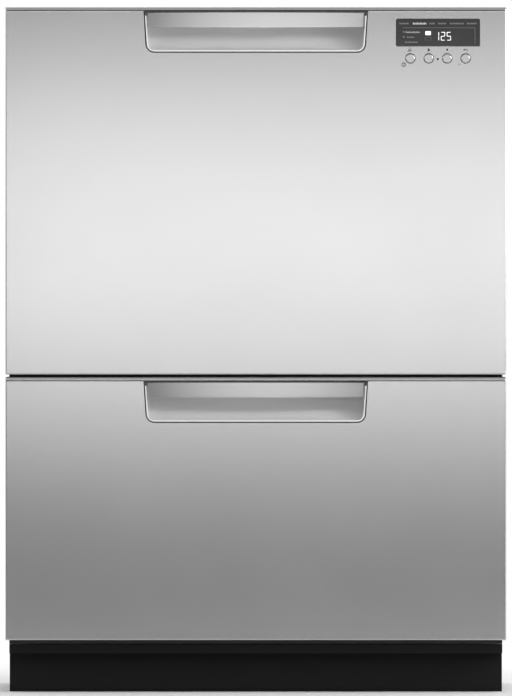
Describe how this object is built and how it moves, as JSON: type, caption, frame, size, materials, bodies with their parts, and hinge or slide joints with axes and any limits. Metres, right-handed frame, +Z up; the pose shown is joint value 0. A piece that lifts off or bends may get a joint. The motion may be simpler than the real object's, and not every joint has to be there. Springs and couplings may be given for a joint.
{
  "type": "double drawer dishwasher",
  "caption": "Built-in dishwasher with two wash drawers behind brushed steel fronts, recessed bar handles, a control display and a black kickboard.",
  "frame": {"origin": "on the floor, under the middle of the machine", "axes": "+X to the right of someone facing the fronts, -Y out of the fronts, +Z up"},
  "size_m": [0.599, 0.573, 0.82],
  "materials": {
    "front_steel": "brushed, horizontal grain",
    "galvanised": "galvanised sheet",
    "rail_steel": "zinc plated",
    "screw_steel": "zinc plated",
    "filter_steel": "fine perforated stainless steel",
    "black_paint": "matt black",
    "black_plastic": "fine texture",
    "white_plastic": "fine texture",
    "liner_plastic": "satin grey",
    "cup_plastic": "satin grey",
    "tub_plastic": "satin light grey",
    "motor_plastic": "fine texture",
    "basket_wire": "plastic coated steel wire",
    "basket_plastic": "satin grey",
    "seal_rubber": "matt",
    "display_glass": "smoked window",
    "board": "circuit board"
  },
  "bodies": {
    "chassis": {"side_panel_left": "galvanised", "side_panel_right": "galvanised", "back_panel": "galvanised", "top_panel": "galvanised", "base_tray": "black_plastic", "cross_braces": "galvanised", "kickboard": "black_paint", "opening_seals": "seal_rubber", "chassis_rails": "rail_steel", "lid_lifts": "black_plastic", "controller_module": "white_plastic", "service_plate": "black_plastic", "mains_gland": "black_plastic", "chassis_screws": "screw_steel"},
    "foot_front_left": {"foot_front_left": "black_plastic"},
    "foot_front_right": {"foot_front_right": "black_plastic"},
    "foot_back_left": {"foot_back_left": "black_plastic"},
    "foot_back_right": {"foot_back_right": "black_plastic"},
    "lower_drawer": {"lower_front_panel": "front_steel", "lower_front_liner": "liner_plastic", "lower_handle_bar": "front_steel", "lower_handle_cup": "cup_plastic", "lower_tub": "tub_plastic", "lower_drawer_rails": "rail_steel", "lower_wash_motor": "motor_plastic", "lower_filter_plate": "filter_steel", "lower_basket": "basket_wire", "lower_cutlery_basket": "basket_plastic", "lower_dispenser": "liner_plastic"},
    "lower_mid_rails": {"lower_mid_rails": "rail_steel"},
    "lower_lid": {"lower_lid": "liner_plastic"},
    "lower_spray_arm": {"lower_spray_arm": "tub_plastic"},
    "lower_impeller": {"lower_impeller": "white_plastic"},
    "lower_cup_rack": {"lower_cup_rack": "basket_plastic"},
    "lower_dispenser_flap": {"lower_dispenser_flap": "cup_plastic"},
    "lower_rinse_cap": {"lower_rinse_cap": "cup_plastic"},
    "upper_drawer": {"upper_front_panel": "front_steel", "upper_front_liner": "liner_plastic", "upper_handle_bar": "front_steel", "upper_handle_cup": "cup_plastic", "upper_tub": "tub_plastic", "upper_drawer_rails": "rail_steel", "upper_wash_motor": "motor_plastic", "upper_filter_plate": "filter_steel", "upper_basket": "basket_wire", "upper_cutlery_basket": "basket_plastic", "upper_dispenser": "liner_plastic", "display_window": "display_glass", "control_board": "board"},
    "upper_mid_rails": {"upper_mid_rails": "rail_steel"},
    "upper_lid": {"upper_lid": "liner_plastic"},
    "upper_spray_arm": {"upper_spray_arm": "tub_plastic"},
    "upper_impeller": {"upper_impeller": "white_plastic"},
    "upper_cup_rack": {"upper_cup_rack": "basket_plastic"},
    "upper_dispenser_flap": {"upper_dispenser_flap": "cup_plastic"},
    "upper_rinse_cap": {"upper_rinse_cap": "cup_plastic"},
    "button_1": {"button_1": "front_steel"},
    "button_2": {"button_2": "front_steel"},
    "button_3": {"button_3": "front_steel"},
    "button_4": {"button_4": "front_steel"}
  },
  "joints": [
    {"name": "lower_drawer_slide", "type": "slide", "parent": "chassis", "child": "lower_drawer", "axis": [0, -1, 0], "range_m": [0, 0.52]},
    {"name": "lower_mid_rail_slide", "type": "slide", "parent": "chassis", "child": "lower_mid_rails", "axis": [0, -1, 0], "range_m": [0, 0.26]},
    {"name": "lower_lid_lift", "type": "slide", "parent": "chassis", "child": "lower_lid", "axis": [0, 0, -1], "range_m": [0, 0.01]},
    {"name": "lower_spray_arm_spin", "type": "hinge", "parent": "lower_drawer", "child": "lower_spray_arm", "pos_m": [0, 0.0035, 0.1155], "axis": [0, 0, 1], "continuous": true},
    {"name": "lower_impeller_spin", "type": "hinge", "parent": "lower_drawer", "child": "lower_impeller", "pos_m": [0, 0.0035, 0.0965], "axis": [0, 0, 1], "continuous": true},
    {"name": "lower_cup_rack_fold", "type": "hinge", "parent": "lower_drawer", "child": "lower_cup_rack", "pos_m": [-0.2454, 0.0295, 0.2389], "axis": [0, -1, 0], "range_deg": [0, 90]},
    {"name": "lower_dispenser_flap_hinge", "type": "hinge", "parent": "lower_drawer", "child": "lower_dispenser_flap", "pos_m": [-0.029, -0.2147, 0.2575], "axis": [-1, 0, 0], "range_deg": [0, 90]},
    {"name": "lower_rinse_cap_turn", "type": "hinge", "parent": "lower_drawer", "child": "lower_rinse_cap", "pos_m": [0.053, -0.2175, 0.2745], "axis": [0, 1, 0], "range_deg": [0, 90]},
    {"name": "upper_drawer_slide", "type": "slide", "parent": "chassis", "child": "upper_drawer", "axis": [0, -1, 0], "range_m": [0, 0.52]},
    {"name": "upper_mid_rail_slide", "type": "slide", "parent": "chassis", "child": "upper_mid_rails", "axis": [0, -1, 0], "range_m": [0, 0.26]},
    {"name": "upper_lid_lift", "type": "slide", "parent": "chassis", "child": "upper_lid", "axis": [0, 0, -1], "range_m": [0, 0.01]},
    {"name": "upper_spray_arm_spin", "type": "hinge", "parent": "upper_drawer", "child": "upper_spray_arm", "pos_m": [0, 0.0035, 0.477], "axis": [0, 0, 1], "continuous": true},
    {"name": "upper_impeller_spin", "type": "hinge", "parent": "upper_drawer", "child": "upper_impeller", "pos_m": [0, 0.0035, 0.458], "axis": [0, 0, 1], "continuous": true},
    {"name": "upper_cup_rack_fold", "type": "hinge", "parent": "upper_drawer", "child": "upper_cup_rack", "pos_m": [-0.2454, 0.0295, 0.6364], "axis": [0, -1, 0], "range_deg": [0, 90]},
    {"name": "upper_dispenser_flap_hinge", "type": "hinge", "parent": "upper_drawer", "child": "upper_dispenser_flap", "pos_m": [-0.029, -0.2147, 0.7], "axis": [-1, 0, 0], "range_deg": [0, 90]},
    {"name": "upper_rinse_cap_turn", "type": "hinge", "parent": "upper_drawer", "child": "upper_rinse_cap", "pos_m": [0.053, -0.2175, 0.717], "axis": [0, 1, 0], "range_deg": [0, 90]},
    {"name": "button_1_press", "type": "slide", "parent": "upper_drawer", "child": "button_1", "axis": [0, 1, 0], "range_m": [0, 0.001], "stiffness_N_per_m": 800},
    {"name": "button_2_press", "type": "slide", "parent": "upper_drawer", "child": "button_2", "axis": [0, 1, 0], "range_m": [0, 0.001], "stiffness_N_per_m": 800},
    {"name": "button_3_press", "type": "slide", "parent": "upper_drawer", "child": "button_3", "axis": [0, 1, 0], "range_m": [0, 0.001], "stiffness_N_per_m": 800},
    {"name": "button_4_press", "type": "slide", "parent": "upper_drawer", "child": "button_4", "axis": [0, 1, 0], "range_m": [0, 0.001], "stiffness_N_per_m": 800},
    {"name": "foot_front_left_height", "type": "slide", "parent": "chassis", "child": "foot_front_left", "axis": [0, 0, -1], "range_m": [0, 0.06]},
    {"name": "foot_front_right_height", "type": "slide", "parent": "chassis", "child": "foot_front_right", "axis": [0, 0, -1], "range_m": [0, 0.06]},
    {"name": "foot_back_left_height", "type": "slide", "parent": "chassis", "child": "foot_back_left", "axis": [0, 0, -1], "range_m": [0, 0.06]},
    {"name": "foot_back_right_height", "type": "slide", "parent": "chassis", "child": "foot_back_right", "axis": [0, 0, -1], "range_m": [0, 0.06]}
  ],
  "couplings": [
    {"joint": "lower_mid_rail_slide", "follows": "lower_drawer_slide", "ratio": 0.5},
    {"joint": "upper_mid_rail_slide", "follows": "upper_drawer_slide", "ratio": 0.5}
  ]
}
